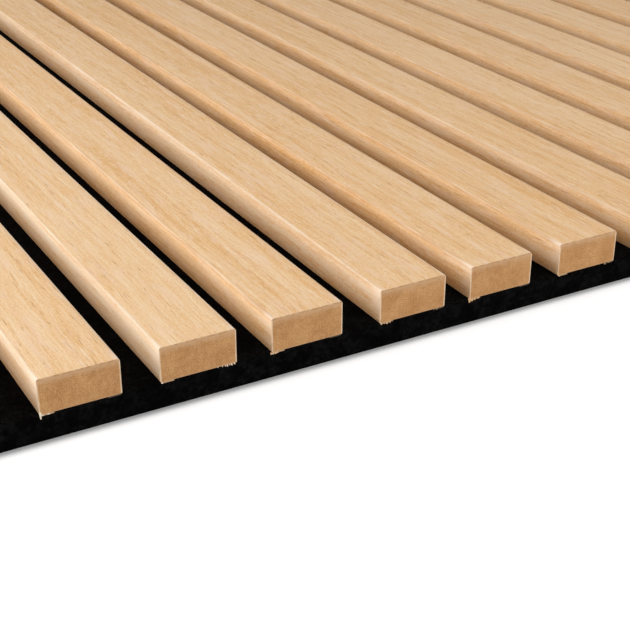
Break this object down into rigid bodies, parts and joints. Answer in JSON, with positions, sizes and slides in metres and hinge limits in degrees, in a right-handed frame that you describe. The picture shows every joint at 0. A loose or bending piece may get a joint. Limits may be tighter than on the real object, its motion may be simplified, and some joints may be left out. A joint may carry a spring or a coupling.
{
  "type": "slatted acoustic wall panel",
  "caption": "Square acoustic wall panel: oak-veneered fibreboard slats, evenly spaced and stapled to a black felt board, lying on its back.",
  "frame": {"origin": "centre of the felt board's back face", "axes": "+Z out of the slatted face, away from the wall; +Y along the slats, away from the sawn ends in the picture; +X across the slats"},
  "size_m": [0.6, 0.6, 0.0219],
  "materials": {
    "oak_veneer": "matte",
    "fibreboard": "matte",
    "black_felt": "matte",
    "staple_wire": "satin"
  },
  "bodies": {
    "root": {"felt_backing": "black_felt", "slat_core_01": "fibreboard", "slat_veneer_01": "oak_veneer", "slat_core_02": "fibreboard", "slat_veneer_02": "oak_veneer", "slat_core_03": "fibreboard", "slat_veneer_03": "oak_veneer", "slat_core_04": "fibreboard", "slat_veneer_04": "oak_veneer", "slat_core_05": "fibreboard", "slat_veneer_05": "oak_veneer", "slat_core_06": "fibreboard", "slat_veneer_06": "oak_veneer", "slat_core_07": "fibreboard", "slat_veneer_07": "oak_veneer", "slat_core_08": "fibreboard", "slat_veneer_08": "oak_veneer", "slat_core_09": "fibreboard", "slat_veneer_09": "oak_veneer", "slat_core_10": "fibreboard", "slat_veneer_10": "oak_veneer", "slat_core_11": "fibreboard", "slat_veneer_11": "oak_veneer", "slat_core_12": "fibreboard", "slat_veneer_12": "oak_veneer", "slat_core_13": "fibreboard", "slat_veneer_13": "oak_veneer", "slat_core_14": "fibreboard", "slat_veneer_14": "oak_veneer", "slat_core_15": "fibreboard", "slat_veneer_15": "oak_veneer", "staples": "staple_wire"}
  },
  "joints": []
}
